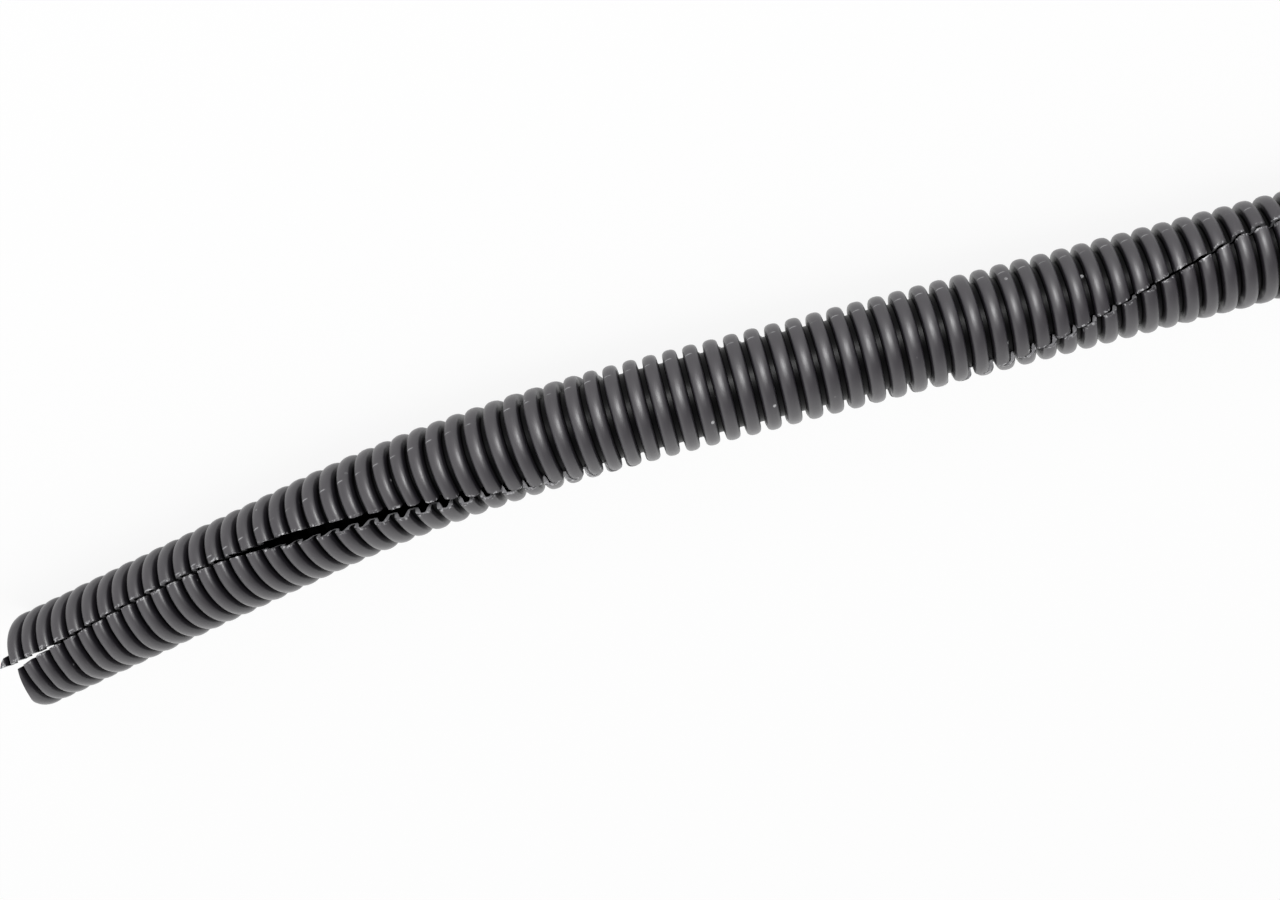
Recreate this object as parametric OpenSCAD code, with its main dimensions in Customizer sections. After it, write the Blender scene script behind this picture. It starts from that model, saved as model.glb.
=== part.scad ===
// Split corrugated conduit: a slit, ringed plastic tube that wires are pressed into.
// A cut length lies on a level surface: a short stretch at its free end stands at an
// angle to the rest, and an even bend joins the two.
// A pitch runs from the middle of one valley to the middle of the next.

/* [Corrugation] */
// Diameter over the crests
crest_d = 13; // [11:0.1:16]
// Depth of the valleys
valley_depth = 1.4; // [1:0.05:1.8]
// Distance from one crest to the next
pitch = 2.6; // [2.4:0.05:3.2]
// Width of a valley
valley_width = 0.85; // [0.6:0.05:1]
// Width of the bevel along each edge of a crest
crest_bevel = 0.3; // [0.1:0.05:0.4]
// Thickness of the plastic
wall = 0.35; // [0.25:0.05:0.45]

/* [Route] */
// Whole rings in the length of stock
ribs = 385; // [120:1:390]
// Rings in the straight stretch at the free end
end_ribs = 20; // [8:1:24]
// Rings in the bend
bend_ribs = 17; // [10:1:28]
// Angle between the free end and the rest
bend = 23; // [5:1:30]

/* [Slit] */
// Gap between the lips where they are closed
gap_closed = 0.25; // [0.2:0.05:0.6]
// Gap at the widest place of the bend
gap_bend = 0.9; // [0.6:0.1:2]
// Gap at the free end, where the lips spread
gap_mouth = 1.6; // [0.8:0.1:4]
// Length of the spread lips
mouth_length = 11; // [5:0.5:15]

/* [Hidden] */

conduit_color = [0.07, 0.07, 0.08];

crest_r = crest_d / 2;
valley_r = crest_r - valley_depth;
bore_r = valley_r - wall;
crest_width = pitch - valley_width;

// A sleeve of the bend ends inside the side walls of its two crests, and those walls
// stop short of the bore
seat_depth = wall / 2;
seat_step = wall / 2;

// The slit winds round the tube: each pair is a distance from the free end and the
// angle of the slit there, from the +Y side of the tube upwards
slit_turns = [[0, 22], [12, 20], [22, 15], [33, 13], [40, 16], [48, 24], [56, 35], [64, 47],
              [72, 62], [80, 79], [90, 101], [102, 124], [112, 132], [124, 127], [134, 110],
              [143, 84], [150, 62], [157, 43], [164, 26], [170, 12], [176, 1], [190, -5],
              [260, 8], [340, -5], [430, 7], [530, -4], [640, 9], [760, -2], [880, 8],
              [1020, 0]];

// The lips part in the bend: each pair is a distance from the free end and the gap
bend_gaps = [[43, gap_closed], [52, gap_bend], [65, gap_bend], [77, gap_closed]];

// Rings to the end of the wound stretch of the slit, and rings in each later cut
wound_ribs = 75;
calm_step = 7;
cut_spare = 0.05;
cut_start = bore_r / 2;
cut_end = crest_r + 1;

turn_each = bend / (bend_ribs + 1);

function heading(ring) =
    ring < end_ribs ? bend
    : ring < end_ribs + bend_ribs ? bend - turn_each * (ring - end_ribs + 1)
    : 0;

function joint_at(ring) =
    ring == 0 ? [0, 0]
    : joint_at(ring - 1) + pitch * [cos(heading(ring - 1)), sin(heading(ring - 1))];

function slit_angle(along) = lookup(along, slit_turns);

function slit_gap(along) =
    max(gap_closed,
        gap_mouth * (1 - along / mouth_length),
        lookup(along, bend_gaps));

main_start = joint_at(end_ribs + bend_ribs);
main_ribs = ribs - end_ribs - bend_ribs;
// The free end's first crest reaches lowest at its bevel's foot or at its rim
crest_foot = [valley_width / 2, crest_r - crest_bevel];
crest_rim = [valley_width / 2 + crest_bevel, crest_r];
x_low = min(crest_foot * [cos(bend), -sin(bend)], crest_rim * [cos(bend), -sin(bend)]);
x_high = main_start.x + main_ribs * pitch;
y_low = min(crest_foot * [sin(bend), -cos(bend)], crest_rim * [sin(bend), -cos(bend)]);
y_high = main_start.y + crest_r;
middle = [(x_low + x_high) / 2, (y_low + y_high) / 2];

// Outline of a crest from wall foot to wall foot, as [radius, distance] points
function crest_outside(start) = [
    [valley_r, start], [crest_r - crest_bevel, start], [crest_r, start + crest_bevel],
    [crest_r, start + crest_width - crest_bevel],
    [crest_r - crest_bevel, start + crest_width], [valley_r, start + crest_width]];

function crest_inside(start, foot_first, foot_last) = [
    [foot_first, start + wall], [crest_r - wall, start + wall],
    [crest_r - wall, start + crest_width - wall], [foot_last, start + crest_width - wall]];

function reversed(points) = [for (i = [len(points) - 1 : -1 : 0]) points[i]];

// A straight stretch: it starts and ends at a valley's middle or, where it is seated,
// with the side wall of a crest
module straight(count, seated_start, seated_end) {
    first = valley_width / 2;
    last = count * pitch - valley_width / 2;
    foot = bore_r + seat_step;
    starts = [for (i = [0 : count - 1]) i * pitch + first];
    outside = [for (start = starts, p = crest_outside(start)) p];
    inside = [for (i = [0 : count - 1], p = crest_inside(starts[i],
                  seated_start && i == 0 ? foot : bore_r,
                  seated_end && i == count - 1 ? foot : bore_r)) p];
    before = seated_start ? [[foot, first]] : [[bore_r, 0], [valley_r, 0]];
    after = seated_end ? [[foot, last]]
        : [[valley_r, count * pitch], [bore_r, count * pitch]];
    rotate([0, 90, 0])
        rotate_extrude()
            polygon(concat(before, outside, after, reversed(inside)));
}

// The floor of a valley of the bend, centred on its middle
module sleeve() {
    length = valley_width + 2 * seat_depth;
    rotate([0, 90, 0])
        rotate_extrude()
            translate([bore_r, -length / 2])
                square([wall, length]);
}

// The cut that parts the lips from one joint to a later one along +X, drawn flat with
// X along the tube and Y round it, then pushed out through the wall
module slit_cut(first, last) {
    length = (last - first) * pitch;
    near = first * pitch;
    far = last * pitch;
    angle = slit_angle((near + far) / 2);
    shift_near = valley_r * tan(slit_angle(near) - angle);
    shift_far = valley_r * tan(slit_angle(far) - angle);
    rotate([angle, 0, 0])
        rotate([90, 0, 0])
            translate([0, 0, -cut_end])
                linear_extrude(cut_end - cut_start)
                    polygon([
                        [-cut_spare, shift_near - slit_gap(near) / 2],
                        [length + cut_spare, shift_far - slit_gap(far) / 2],
                        [length + cut_spare, shift_far + slit_gap(far) / 2],
                        [-cut_spare, shift_near + slit_gap(near) / 2]]);
}

module at_joint(ring, angle) {
    translate(joint_at(ring))
        rotate([0, 0, angle])
            children();
}

module conduit() {
    first_main = end_ribs + bend_ribs;
    color(conduit_color)
        translate([-middle.x, -middle.y, crest_r])
            difference() {
                union() {
                    at_joint(0, bend)
                        straight(end_ribs, false, true);
                    for (ring = [end_ribs : first_main])
                        at_joint(ring, (heading(ring - 1) + heading(ring)) / 2)
                            sleeve();
                    for (ring = [end_ribs : first_main - 1])
                        at_joint(ring, heading(ring))
                            straight(1, true, true);
                    at_joint(first_main, 0)
                        straight(main_ribs, true, false);
                }
                for (ring = [0 : wound_ribs - 1])
                    at_joint(ring, heading(ring))
                        slit_cut(ring, ring + 1);
                for (ring = [wound_ribs : calm_step : ribs - 1])
                    at_joint(ring, 0)
                        slit_cut(ring, min(ring + calm_step, ribs));
            }
}

conduit();
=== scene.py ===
import math

import bpy
from mathutils import Matrix, Vector


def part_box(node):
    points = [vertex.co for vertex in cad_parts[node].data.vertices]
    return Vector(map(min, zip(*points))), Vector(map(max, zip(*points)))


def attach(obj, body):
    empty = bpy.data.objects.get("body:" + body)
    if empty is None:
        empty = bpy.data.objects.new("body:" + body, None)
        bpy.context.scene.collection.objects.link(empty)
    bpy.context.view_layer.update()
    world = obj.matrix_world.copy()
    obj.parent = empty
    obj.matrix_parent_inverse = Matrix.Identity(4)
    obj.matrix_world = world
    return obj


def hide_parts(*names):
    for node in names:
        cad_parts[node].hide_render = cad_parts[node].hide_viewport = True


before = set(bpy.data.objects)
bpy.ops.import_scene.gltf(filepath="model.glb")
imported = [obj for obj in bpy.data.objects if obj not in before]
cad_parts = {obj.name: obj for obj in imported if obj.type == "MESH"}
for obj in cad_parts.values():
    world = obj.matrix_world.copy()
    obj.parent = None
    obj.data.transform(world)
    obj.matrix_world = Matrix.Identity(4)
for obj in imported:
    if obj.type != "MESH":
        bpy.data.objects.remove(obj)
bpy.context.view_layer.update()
print("frame loaded")


# A node tree's value: sums and products of wires add Math nodes
class Wire:
    def __init__(self, tree, socket=None):
        self.tree = tree
        self.socket = socket

    # Any node: its type, its settings, its inputs by name or number, and the output to use
    def node(self, kind, settings=None, inputs=None, output=0):
        made = self.tree.nodes.new(kind)
        for name, value in (settings or {}).items():
            if name == "curve":
                drawCurve(made, value)
            elif name == "choices":
                while len(made.index_switch_items) < value:
                    made.index_switch_items.new()
            else:
                setattr(made, name, value)
        for key, value in (inputs or {}).items():
            if isinstance(value, Wire):
                self.tree.links.new(value.socket, made.inputs[key])
            else:
                made.inputs[key].default_value = value
        return Wire(self.tree, made.outputs[output])

    def maths(self, operation, *values):
        settings = {"operation": operation}
        return self.node("ShaderNodeMath", settings, dict(enumerate(values)))

    def __add__(self, other):
        return self.maths("ADD", self, other)

    def __radd__(self, other):
        return self.maths("ADD", other, self)

    def __sub__(self, other):
        return self.maths("SUBTRACT", self, other)

    def __rsub__(self, other):
        return self.maths("SUBTRACT", other, self)

    def __mul__(self, other):
        return self.maths("MULTIPLY", self, other)

    def __rmul__(self, other):
        return self.maths("MULTIPLY", other, self)

    def __truediv__(self, other):
        return self.maths("DIVIDE", self, other)

    def __mod__(self, other):
        return self.maths("FLOORED_MODULO", self, other)

    def atLeast(self, other):
        return self.maths("MAXIMUM", self, other)

    def atMost(self, other):
        return self.maths("MINIMUM", self, other)

    def over(self, other):
        return self.maths("GREATER_THAN", self, other)

    def whole(self):
        return self.maths("FLOOR", self)

    def size(self):
        return self.maths("ABSOLUTE", self)

    # 0 at the first value and 1 at the second, with a smooth slope between
    def slope(self, first, second):
        places = {"Value": self, "From Min": first, "From Max": second}
        return self.node("ShaderNodeMapRange", {"interpolation_type": "SMOOTHSTEP"}, places)

    # The height of a line drawn through points, at this wire's distance along it
    def along(self, points):
        first, last = points[0][0], points[-1][0]
        heights = [height for _, height in points]
        low, high = min(heights), max(heights)
        drawn = [((x - first) / (last - first), (y - low) / (high - low)) for x, y in points]
        share = (self - first) / (last - first)
        line = self.node("ShaderNodeFloatCurve", {"curve": drawn}, {"Value": share.clamped()})
        return line * (high - low) + low

    def clamped(self):
        return self.atLeast(0).atMost(1)


def drawCurve(node, points):
    curve = node.mapping.curves[0]
    while len(curve.points) < len(points):
        curve.points.new(0.5, 0.5)
    for place, (x, y) in zip(curve.points, points):
        place.location = (x, y)
        place.handle_type = "AUTO_CLAMPED"
    node.mapping.use_clip = False
    node.mapping.update()


def mm(value):
    return value / 1000


# What a user would change, in millimetres and degrees. Distances run from the free end
conduit = {
    "rings": 385,
    "pitch": 2.6,
    "crestRadius": 6.5,
    "valleyDepth": 1.4,
    "wall": 0.35,
    "endRings": 20,
    "bendRings": 17,
    "bend": 23,
    "closedGap": 0.3,
    "bendGap": 1.25,
    "mouthGap": 1.25,
    "mouthLength": 11.0,
    "raggedness": 0.12,
    "raggedScale": 0.9,
    "unevenness": 0.05,
    "seed": 7,
    # angle of the slit from the +Y side upwards, in the wound stretch and after it
    "woundSlit": [(0, 27), (4, 25), (8, 22.5), (13, 21), (22, 16.5), (30, 14.3), (38, 15.5),
                  (46, 22.5), (54, 34), (62, 47), (70, 61), (78, 76), (84, 88), (90, 101),
                  (102, 124), (112, 132), (124, 127), (134, 112), (143, 87), (150, 67),
                  (157, 46), (164, 27), (170, 11.5), (176, -1), (190, -6)],
    "calmSlit": [(190, -6), (260, 8), (340, -5), (430, 7), (530, -4), (640, 9), (760, -2),
                 (880, 8), (1020, 0)],
    "bendLips": [(22, 0), (36, 0.2), (45, 0.45), (52, 1), (67, 1), (76, 0.5), (85, 0)],
    # how far the rings have slid towards the far end: at the lower lip, on the tube's back
    # and at the upper lip
    "lowerSlide": [(0, 2.1), (3.5, 1.95), (10, 1.7), (25, 1.65), (33, 1.75), (46, 1.65),
                   (57, 1.4), (65, 1.5), (73, 1.9), (88, 2.1), (103, 2.05), (118, 2.25),
                   (130, 2.55), (147, 3.4), (158, 3.35), (170, 2.85), (190, 2.6), (420, 0)],
    "backSlide": [(0, 0.35), (12, 0.35), (20, 0.5), (32, 0.5), (40, 0.6), (56, 0.95),
                  (64, 0.65), (72, 0.3), (80, 0.12), (88, -0.05), (96, -0.45), (104, -0.6),
                  (112, -0.5), (120, -0.3), (130, -0.05), (140, 0.08), (165, 0.05), (180, 0)],
    "upperSlide": [(0, 0.1), (11, 0.25), (18, 0.7), (31, 0.9), (40, 1.25), (54, 1.4),
                   (63, 1.3), (71, 0.5), (80, 0.35), (88, 0.1), (96, -0.35), (104, -0.55),
                   (118, -0.35), (130, 0)],
    # the lower lip's slide fades out from this share of the way round to the share drawn
    "fadeStart": 0.27,
    "fadeEnd": [(0, 0.6), (84, 0.6), (100, 0.39), (136, 0.39), (170, 0.6)],
    # the lower flap has also been dragged back near the free end
    "lowerDrag": [(0, -0.75), (12, -0.6), (19, -0.4), (32, 0)],
    "dragReach": [(0, 0), (0.08, 0.2), (0.2, 1), (0.3, 1), (0.5, 0)],
    # how much of the upper lip's slide there is, by the share of the way round
    "upperReach": [(0.72, 0), (0.86, 0.5), (1, 1)],
    # where the free end is cut off, by the share of the way round from lip to lip
    "endCut": [(0, 2), (0.05, 1.6), (0.1, 1.1), (0.2, 0.3), (0.3, 0), (0.5, 1.2), (0.78, 2.9),
               (0.9, 3), (0.93, 2.8), (0.96, 2.3), (1, 1.4)],
    # where the mould's halves met: a fine ridge over the crests, drawn on the plastic as a
    # painted highlight line
    "seam": [(0, 20), (40, 6), (53, -5), (65, -12), (80, -21), (95, -28), (140, -30)],
    # height of the outside and of the inside, from a valley's middle to a crest's middle
    "outerProfile": [(0, 0), (0.2, 0), (0.24, 0.06), (0.262, 0.28), (0.283, 0.5),
                     (0.3, 0.61), (0.335, 0.71), (0.392, 0.8), (0.5, 0.89),
                     (0.642, 0.957), (0.785, 0.989), (1, 1)],
    "innerProfile": [(0, 0), (0.45, 0), (0.55, 0.1), (0.62, 0.5), (0.72, 0.9), (0.85, 0.98),
                     (1, 1)],
    # places of a ring's rows, from a valley's middle to a crest's middle, and the columns
    # round the outside, where the slit winds and where it lies calm
    "fineRows": [0, 0.2, 0.25, 0.285, 0.31, 0.36, 0.45, 0.6, 0.8, 1],
    "fineColumns": 64,
    "coarseRows": [0, 0.22, 0.29, 0.42, 0.65, 1],
    "coarseColumns": 28,
    "woundRings": 76,
    "weldDistance": 0.0005,
    "crispFold": 58,
}

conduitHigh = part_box("conduit")[1]
bendEnd = (conduit["endRings"] + conduit["bendRings"] + 0.5) * conduit["pitch"]
bendLength = (conduit["bendRings"] + 1) * conduit["pitch"]
conduitLength = conduit["rings"] * conduit["pitch"]
# the middle line where the bend runs out into the long stretch
stretchStart = Vector((
    conduitHigh.x - mm(conduitLength - bendEnd),
    conduitHigh.y - mm(conduit["crestRadius"]),
    mm(conduit["crestRadius"]),
))


# The tree that draws a stretch of slit conduit: a grid whose rows follow the rings and whose
# columns run round the outside from lip to lip and back round the inside
def makeStretchTree(name, halfRows):
    tree = bpy.data.node_groups.new(name, "GeometryNodeTree")
    inputs = [("First Ring", "NodeSocketInt"), ("Rings", "NodeSocketInt"),
              ("Columns", "NodeSocketInt"), ("Pitch", "NodeSocketFloat"),
              ("Crest Radius", "NodeSocketFloat"), ("Valley Depth", "NodeSocketFloat"),
              ("Wall", "NodeSocketFloat"), ("Bend", "NodeSocketFloat"),
              ("Bend End", "NodeSocketFloat"), ("Bend Length", "NodeSocketFloat"),
              ("Closed Gap", "NodeSocketFloat"), ("Bend Gap", "NodeSocketFloat"),
              ("Mouth Gap", "NodeSocketFloat"), ("Mouth Length", "NodeSocketFloat"),
              ("Raggedness", "NodeSocketFloat"), ("Unevenness", "NodeSocketFloat"),
              ("Seed", "NodeSocketInt"), ("Stretch Start", "NodeSocketVector"),
              ("Material", "NodeSocketMaterial")]
    for label, kind in inputs:
        tree.interface.new_socket(label, in_out="INPUT", socket_type=kind)
    tree.interface.new_socket("Mesh", in_out="OUTPUT", socket_type="NodeSocketGeometry")
    entry = tree.nodes.new("NodeGroupInput")
    ask = {label: Wire(tree, entry.outputs[label]) for label, _ in inputs}
    start = Wire(tree)

    # the rows of a whole ring, from one valley's middle to the next
    ringRows = [place / 2 for place in halfRows[:-1]]
    ringRows += [1 - place / 2 for place in reversed(halfRows[1:])]
    rowCount = ask["Rings"] * len(ringRows)
    roundCount = ask["Columns"] * 2 + 2
    grid = start.node("GeometryNodeMeshGrid", None,
                      {"Vertices X": rowCount + 3, "Vertices Y": roundCount + 1}, "Mesh")
    index = start.node("GeometryNodeInputIndex")
    gridRow = ((index + 0.5) / (roundCount + 1)).whole()
    column = (index - gridRow * (roundCount + 1)) % roundCount
    row = (gridRow - 1).atLeast(0).atMost(rowCount)
    ring = ((row + 0.5) / len(ringRows)).whole()
    rowInRing = row - ring * len(ringRows)
    ring = ring + ask["First Ring"]
    choices = {"Index": rowInRing}
    choices.update({number + 1: place for number, place in enumerate(ringRows)})
    ringPlace = start.node("GeometryNodeIndexSwitch",
                           {"data_type": "FLOAT", "choices": len(ringRows)}, choices)
    inside = column.over(ask["Columns"] + 0.5)
    turnBack = (ask["Columns"] * 2 + 1) - column
    share = (column * (1 - inside) + turnBack * inside) / ask["Columns"]
    endRow = (0.5 - gridRow).over(0).atLeast(gridRow.over(rowCount + 1.5))

    # distance from the free end, never beyond the slanted cut
    place = (ring + ringPlace) * ask["Pitch"]
    place = place.atLeast(share.along(conduit["endCut"]))
    cyclePlace = (place / ask["Pitch"]) % 1
    fromValley = 1 - (cyclePlace * 2 - 1).size()
    outer = fromValley.along(conduit["outerProfile"])
    inner = fromValley.along(conduit["innerProfile"])
    valleyRadius = ask["Crest Radius"] - ask["Valley Depth"]
    chance = start.node("FunctionNodeRandomValue", {"data_type": "FLOAT"},
                        {"ID": ring, "Seed": ask["Seed"]}, 1)
    outerRadius = valleyRadius + outer * (ask["Valley Depth"] - ask["Unevenness"] * chance)
    innerRadius = valleyRadius - ask["Wall"] + inner * ask["Valley Depth"]
    radius = outerRadius * (1 - inside) + innerRadius * inside
    middleRadius = (outerRadius + innerRadius) / 2
    radius = radius * (1 - endRow) + middleRadius * endRow

    # the rings have slid along the conduit, each flap by its own amount
    back = place.along(conduit["backSlide"])
    fadeEnd = place.along(conduit["fadeEnd"])
    lowerReach = ((fadeEnd - share) / (fadeEnd - conduit["fadeStart"])).clamped()
    lower = (place.along(conduit["lowerSlide"]) - back) * lowerReach
    upper = (place.along(conduit["upperSlide"]) - back) * share.along(conduit["upperReach"])
    drag = place.along(conduit["lowerDrag"]) * share.along(conduit["dragReach"])
    reach = place + back + lower + upper + drag

    # the slit's angle and its two ragged lips
    slit = reach.along(conduit["woundSlit"]) + reach.along(conduit["calmSlit"])
    slit = slit - conduit["calmSlit"][0][1]
    mouth = (1 - reach / ask["Mouth Length"]) * ask["Mouth Gap"]
    gap = (reach.along(conduit["bendLips"]) * ask["Bend Gap"]).atLeast(mouth)
    gap = gap.atLeast(ask["Closed Gap"])
    lips = []
    for side in range(2):
        at = start.node("ShaderNodeCombineXYZ", None, {"X": place, "Y": side * 40.0})
        noise = start.node("ShaderNodeTexNoise", {"noise_dimensions": "2D"},
                           {"Vector": at, "Scale": conduit["raggedScale"], "Detail": 3.0,
                            "Roughness": 0.7})
        lips.append(gap / 2 + (noise - 0.5) * 2 * ask["Raggedness"])
    lowerLip = lips[0] / valleyRadius
    upperLip = lips[1] / valleyRadius
    angle = slit * math.radians(1) + lowerLip + share * (2 * math.pi - lowerLip - upperLip)
    # degrees round from the mould's seam
    fromSeam = (angle / math.radians(1) - reach.along(conduit["seam"]) + 180) % 360 - 180

    # the middle line: the free end's straight stretch, the bend and the long stretch
    curvature = ask["Bend"] / ask["Bend Length"]
    beforeEnd = (ask["Bend End"] - reach).atLeast(0).atMost(ask["Bend Length"])
    beyond = (reach - ask["Bend End"]).atLeast(0)
    before = (ask["Bend End"] - ask["Bend Length"] - reach).atLeast(0)
    heading = beforeEnd * curvature
    cosHeading, sinHeading = start.maths("COSINE", heading), start.maths("SINE", heading)
    middleX = beyond - sinHeading / curvature - before * cosHeading
    middleY = (cosHeading - 1) / curvature - before * sinHeading
    sideways = radius * start.maths("COSINE", angle)
    upwards = radius * start.maths("SINE", angle)
    spot = start.node("ShaderNodeCombineXYZ", None, {
        "X": middleX - sideways * sinHeading,
        "Y": middleY + sideways * cosHeading,
        "Z": upwards})
    spot = start.node("ShaderNodeVectorMath", {"operation": "SCALE"}, {0: spot, "Scale": 0.001})
    spot = start.node("ShaderNodeVectorMath", {"operation": "ADD"},
                      {0: spot, 1: ask["Stretch Start"]})

    # kept on the mesh for the plastic's own marks, its painted shade and its painted highlight
    marks = {"ringHeight": outer, "roundShare": share, "fromEnd": place,
             "insideWall": inside, "ringPlace": cyclePlace, "fromSeam": fromSeam}
    shape = grid
    for label, value in marks.items():
        shape = start.node("GeometryNodeStoreNamedAttribute",
                           {"data_type": "FLOAT", "domain": "POINT"},
                           {"Geometry": shape, "Name": label, "Value": value})
    shape = start.node("GeometryNodeSetPosition", None, {"Geometry": shape, "Position": spot})
    shape = start.node("GeometryNodeMergeByDistance", None,
                       {"Geometry": shape, "Distance": mm(conduit["weldDistance"])})
    shape = start.node("GeometryNodeFlipFaces", None, {"Mesh": shape})
    shape = start.node("GeometryNodeSetShadeSmooth", {"domain": "FACE"},
                       {"Geometry": shape, "Shade Smooth": True})
    fold = start.node("GeometryNodeInputMeshEdgeAngle")
    crisp = fold.over(math.radians(conduit["crispFold"]))
    shape = start.node("GeometryNodeSetShadeSmooth", {"domain": "EDGE"},
                       {"Geometry": shape, "Selection": crisp, "Shade Smooth": False})
    shape = start.node("GeometryNodeRealizeInstances", None, {"Geometry": shape})
    shape = start.node("GeometryNodeSetMaterial", None,
                       {"Geometry": shape, "Material": ask["Material"]})
    leave = tree.nodes.new("NodeGroupOutput")
    tree.links.new(shape.socket, leave.inputs[0])
    return tree


# One piece of the conduit, from a first ring onwards
def makeStretch(name, tree, firstRing, rings, columns, material):
    holder = bpy.data.objects.new(name + "Holder", bpy.data.meshes.new(name + "Holder"))
    bpy.context.collection.objects.link(holder)
    modifier = holder.modifiers.new("Stretch", "NODES")
    modifier.node_group = tree
    sizes = {
        "First Ring": firstRing, "Rings": rings, "Columns": columns,
        "Pitch": conduit["pitch"], "Crest Radius": conduit["crestRadius"],
        "Valley Depth": conduit["valleyDepth"], "Wall": conduit["wall"],
        "Bend": math.radians(conduit["bend"]), "Bend End": bendEnd,
        "Bend Length": bendLength, "Closed Gap": conduit["closedGap"],
        "Bend Gap": conduit["bendGap"], "Mouth Gap": conduit["mouthGap"],
        "Mouth Length": conduit["mouthLength"], "Raggedness": conduit["raggedness"],
        "Unevenness": conduit["unevenness"], "Seed": conduit["seed"],
        "Stretch Start": stretchStart, "Material": material,
    }
    for item in tree.interface.items_tree:
        if item.in_out == "INPUT":
            modifier[item.identifier] = sizes[item.name]
    evaluated = holder.evaluated_get(bpy.context.evaluated_depsgraph_get())
    mesh = bpy.data.meshes.new_from_object(evaluated)
    bpy.data.objects.remove(holder)
    piece = bpy.data.objects.new(name, mesh)
    mesh.name = name
    bpy.context.collection.objects.link(piece)
    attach(piece, "root")
    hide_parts("conduit")
    print(name, len(mesh.polygons), "faces")


plastic = {
    "roughness": 0.36,
    "glossIor": 1.7,
    "glossRoughness": 0.47,
    "valleyGloss": 0.02,
    "bareShine": 0.08,
    "cloudScale": 260.0,
    "grainScale": 2600.0,
    "speckScale": 330.0,
    "reliefStrength": 0.4,
    "reliefDepth": 0.05,
    # painted shade: near-black for the valleys and the inside wall, where shade falls
    "valleyTone": (0.001, 0.001, 0.0012),
    "darkTone": (0.009, 0.0072, 0.011),
    "paleTone": (0.024, 0.0205, 0.0255),
    "dustTone": (0.42, 0.42, 0.43),
    # pale grey for the cut faces and burrs, and for the painted highlight along the mould's
    # seam
    "burrTone": (0.3, 0.3, 0.31),
    # half the width of the mould's seam, in degrees round the tube
    "seamWidth": 1.0,
}


def makePlastic():
    material = bpy.data.materials.new("blackPlastic")
    material.use_nodes = True
    tree = material.node_tree
    tree.nodes.clear()
    start = Wire(tree)

    def mark(name):
        return start.node("ShaderNodeAttribute",
                          {"attribute_name": name, "attribute_type": "GEOMETRY"}, None, "Fac")

    # two tones, each a wire or the name of a plain one
    def blend(amount, first, second):
        colours = [tone if isinstance(tone, Wire) else (*plastic[tone], 1)
                   for tone in (first, second)]
        return start.node("ShaderNodeMix", {"data_type": "RGBA"},
                          {"Factor": amount, "A": colours[0], "B": colours[1]}, "Result")

    spot = start.node("ShaderNodeTexCoord", None, None, "Object")
    height, share, inside = mark("ringHeight"), mark("roundShare"), mark("insideWall")
    cloud = start.node("ShaderNodeTexNoise", None,
                       {"Vector": spot, "Scale": plastic["cloudScale"], "Detail": 3.0,
                        "Roughness": 0.6})
    grain = start.node("ShaderNodeTexNoise", None,
                       {"Vector": spot, "Scale": plastic["grainScale"], "Detail": 2.0,
                        "Roughness": 0.6})

    # the crests have worn pale, and the valleys are painted near-black for the shade that falls
    # into them
    wear = (height.slope(0.8, 1.0) * (cloud * 0.7 + 0.3)).clamped()
    tone = blend(wear, "darkTone", "paleTone")
    tone = blend(height.slope(0.05, 0.75), "valleyTone", tone)
    specks = start.node("ShaderNodeTexVoronoi", {"feature": "F1"},
                        {"Vector": spot, "Scale": plastic["speckScale"], "Randomness": 1.0},
                        "Distance")
    dust = (0.09 - specks).slope(0, 0.03) * cloud.slope(0.5, 0.6)
    tone = blend(dust, tone, "dustTone")

    # the slit's cut faces are paler, with burrs beside them
    cutFace = (inside * (1 - inside) * 4).slope(0.1, 0.5)
    fromLip = share.atMost(1 - share)
    burr = (0.012 - fromLip).slope(0, 0.01) * grain.slope(0.52, 0.62) * height.slope(0.3, 0.9)
    burr = burr * (1 - inside).slope(0.5, 1)
    tone = blend((cutFace * (grain * 0.6 + 0.25) + burr).clamped(), tone, "burrTone")
    # painted shade: the inside wall, away from the cut faces, is painted near-black for the
    # shade inside the tube
    tone = blend((inside - cutFace).slope(0.4, 0.8), tone, "valleyTone")

    # the mould's seam, a fine ridge, shows on the crests as a painted highlight: a pale line
    # where the ridge would catch the light
    seam = (plastic["seamWidth"] - mark("fromSeam").size()).slope(0, 0.6)
    seam = seam * height.slope(0.75, 0.95) * (0.62 - mark("ringPlace")).slope(0, 0.15)
    seam = seam * cloud.slope(0.4, 0.55) * 0.7
    tone = blend(seam, tone, "burrTone")

    # a soft sheen over a dull plastic, lost in the valleys and on the inside
    gloss = height.slope(0.05, 0.5) * (1 - plastic["valleyGloss"]) + plastic["valleyGloss"]
    gloss = gloss * (1 - inside.slope(0.6, 1))
    roughness = (plastic["roughness"] + (cloud - 0.5) * 0.18 + dust * 0.3).clamped()
    relief = start.node("ShaderNodeBump", None,
                        {"Height": grain * 0.6 + cloud * 0.4,
                         "Strength": plastic["reliefStrength"],
                         "Distance": mm(plastic["reliefDepth"])}, "Normal")
    surface = start.node("ShaderNodeBsdfPrincipled", None, {
        "Base Color": tone, "Roughness": roughness, "Normal": relief,
        "Specular IOR Level": plastic["bareShine"], "Coat Weight": gloss,
        "Coat IOR": plastic["glossIor"], "Coat Roughness": plastic["glossRoughness"],
        "Coat Normal": relief})
    end = tree.nodes.new("ShaderNodeOutputMaterial")
    tree.links.new(surface.socket, end.inputs["Surface"])
    return material


blackPlastic = makePlastic()
fineTree = makeStretchTree("fineStretch", conduit["fineRows"])
coarseTree = makeStretchTree("coarseStretch", conduit["coarseRows"])

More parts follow.
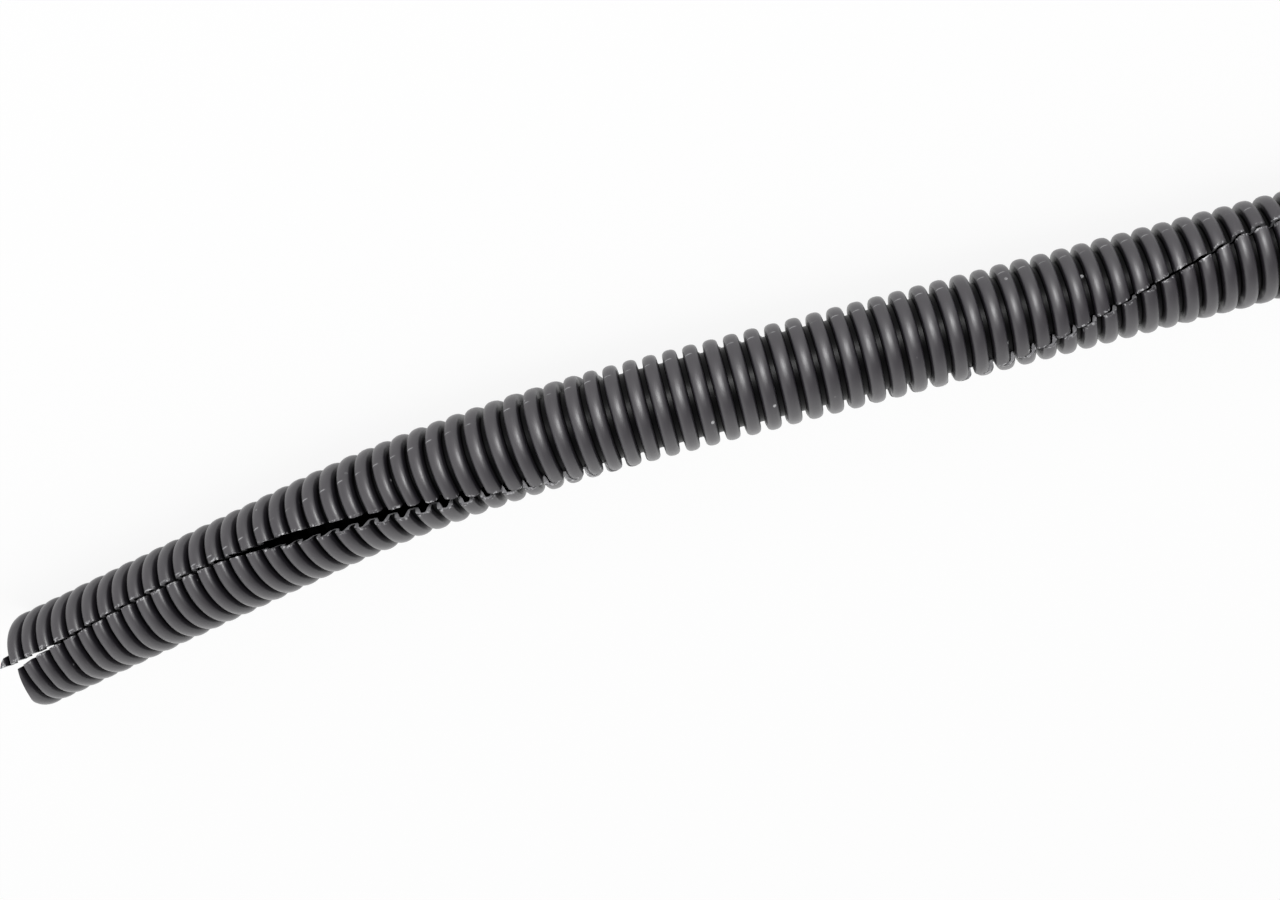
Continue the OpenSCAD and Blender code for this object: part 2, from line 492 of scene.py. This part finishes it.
# the rings where each piece starts, and the last one's end
starts = [0, conduit["woundRings"] // 2, conduit["woundRings"],
          conduit["woundRings"] + (conduit["rings"] - conduit["woundRings"]) // 2,
          conduit["rings"]]
names = ["conduitFreeEnd", "conduitWoundStretch", "conduitLongStretch", "conduitFarEnd"]
for name, first, after in zip(names, starts, starts[1:]):
    wound = after <= conduit["woundRings"]
    makeStretch(name, fineTree if wound else coarseTree, first, after - first,
                conduit["fineColumns"] if wound else conduit["coarseColumns"], blackPlastic)
print("conduit drawn")


studio = {
    "floorSize": 6.0,
    "floorTone": (0.86, 0.86, 0.86),
    "floorGlow": 0.9,
    "frontAir": 0.3,
    "backAir": 1.35,
    "rightShade": 0.5,
    # each lamp's place from the end of the bend, in metres, its width, height and power
    "lowStrip": ((0.04, 0.8, 0.08), 0.16, 0.26, 6),
    "highStrip": ((0.04, 0.72, 0.3), 0.14, 0.24, 0.8),
}


# White air to the camera. It lights the conduit less from in front and from the right
def makeAir():
    world = bpy.data.worlds.new("studioAir")
    bpy.context.scene.world = world
    world.use_nodes = True
    world.node_tree.nodes.clear()
    air = Wire(world.node_tree)
    rays = world.node_tree.nodes.new("ShaderNodeLightPath")
    seen = Wire(world.node_tree, rays.outputs["Is Camera Ray"])
    looked = air.node("ShaderNodeTexCoord", None, None, "Generated")
    forward = air.node("ShaderNodeSeparateXYZ", None, {"Vector": looked}, "Y")
    rightward = air.node("ShaderNodeSeparateXYZ", None, {"Vector": looked}, "X")
    aside = (0.45 - forward).slope(0, 0.85).atLeast((-0.2 - rightward).slope(0, 0.5))
    shade = aside * (studio["backAir"] - studio["frontAir"]) + studio["frontAir"]
    shade = shade * (1 - rightward.slope(0.1, 0.7) * forward.slope(-0.6, 0.2)
                     * studio["rightShade"])
    strength = seen + shade * (1 - seen)
    glow = air.node("ShaderNodeBackground", None,
                    {"Color": (1, 1, 1, 1), "Strength": strength})
    end = world.node_tree.nodes.new("ShaderNodeOutputWorld")
    world.node_tree.links.new(glow.socket, end.inputs["Surface"])


# A floor that is nearly white to the camera and keeps a trace of the shadow
def makeFloor():
    half = studio["floorSize"] / 2
    mesh = bpy.data.meshes.new("studioFloor")
    corners = [(-half, -half, 0), (half, -half, 0), (half, half, 0), (-half, half, 0)]
    mesh.from_pydata(corners, [], [(0, 1, 2, 3)])
    floor = bpy.data.objects.new("studioFloor", mesh)
    bpy.context.collection.objects.link(floor)
    material = bpy.data.materials.new("studioFloor")
    material.use_nodes = True
    tree = material.node_tree
    tree.nodes.clear()
    start = Wire(tree)
    rays = tree.nodes.new("ShaderNodeLightPath")
    seen = Wire(tree, rays.outputs["Is Camera Ray"])
    seen = (seen + Wire(tree, rays.outputs["Is Glossy Ray"])
            + Wire(tree, rays.outputs["Is Transmission Ray"])).clamped()
    matt = start.node("ShaderNodeBsdfDiffuse", None, {"Color": (*studio["floorTone"], 1)})
    white = start.node("ShaderNodeEmission", None, {"Color": (1, 1, 1, 1), "Strength": 1.0})
    mixed = start.node("ShaderNodeMixShader", None,
                       {"Fac": seen * studio["floorGlow"], 1: matt, 2: white})
    end = tree.nodes.new("ShaderNodeOutputMaterial")
    tree.links.new(mixed.socket, end.inputs["Surface"])
    mesh.materials.append(material)


def aimed(location, target):
    turn = (target - location).to_track_quat("-Z", "Y")
    return Matrix.Translation(location) @ turn.to_matrix().to_4x4()


def makeLamp(name):
    place, width, height, power = studio[name]
    lamp = bpy.data.lights.new(name, "AREA")
    lamp.shape = "RECTANGLE"
    lamp.size, lamp.size_y, lamp.energy = width, height, power
    holder = bpy.data.objects.new(name, lamp)
    holder.matrix_world = aimed(stretchStart + Vector(place), stretchStart)
    holder.visible_camera = False
    bpy.context.collection.objects.link(holder)


makeAir()
makeFloor()
makeLamp("lowStrip")
makeLamp("highStrip")
print("studio lit")


# The eye's place from the end of the bend, in millimetres, and its ways right and down
viewpoint = {
    "lens": 63.52,
    "sensorWidth": 36,
    "offset": (4.565, 253.893, 123.205),
    "right": (0.96791, -0.1256, 0.21766),
    "down": (-0.25025, -0.40283, 0.8804),
}


def makeCamera():
    camera = bpy.data.cameras.new("camera")
    camera.lens = viewpoint["lens"]
    camera.sensor_width = viewpoint["sensorWidth"]
    camera.clip_start, camera.clip_end = 0.01, 20
    right = Vector(viewpoint["right"]).normalized()
    down = Vector(viewpoint["down"]).normalized()
    back = down.cross(right).normalized()
    up = back.cross(right).normalized()
    turn = Matrix((right, up, back)).transposed().to_4x4()
    place = stretchStart + Vector(viewpoint["offset"]) / 1000
    holder = bpy.data.objects.new("camera", camera)
    holder.matrix_world = Matrix.Translation(place) @ turn
    bpy.context.collection.objects.link(holder)
    bpy.context.scene.camera = holder


makeCamera()
bpy.context.scene.view_settings.view_transform = "Standard"
print("camera set")
